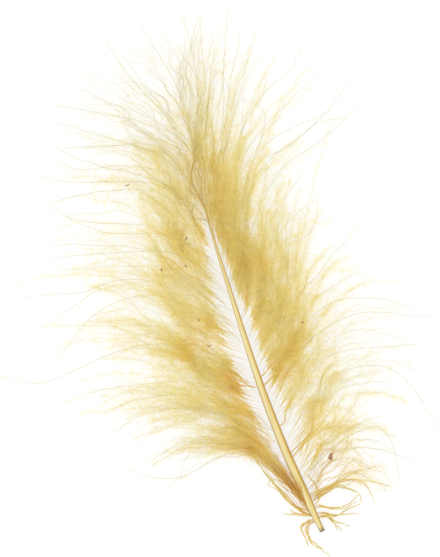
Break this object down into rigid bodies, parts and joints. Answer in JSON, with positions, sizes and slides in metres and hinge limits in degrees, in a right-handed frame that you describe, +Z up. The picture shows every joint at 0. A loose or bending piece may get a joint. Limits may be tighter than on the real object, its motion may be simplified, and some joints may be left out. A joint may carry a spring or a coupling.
{
  "type": "goose quill feather",
  "caption": "Small downy goose feather with a slender tapering quill and long loose golden down fanned along both its sides, lying flat.",
  "frame": {"origin": "under the middle of the feather, on the table it lies on", "axes": "+Y from the quill's cut end towards the feather's tip, +X to the right seen from above, +Z up, away from the table"},
  "size_m": [0.096, 0.123, 0.0093],
  "materials": {
    "down": "matte",
    "quill": "satin",
    "husk": "matte"
  },
  "bodies": {
    "root": {"feather": "down"}
  },
  "joints": []
}
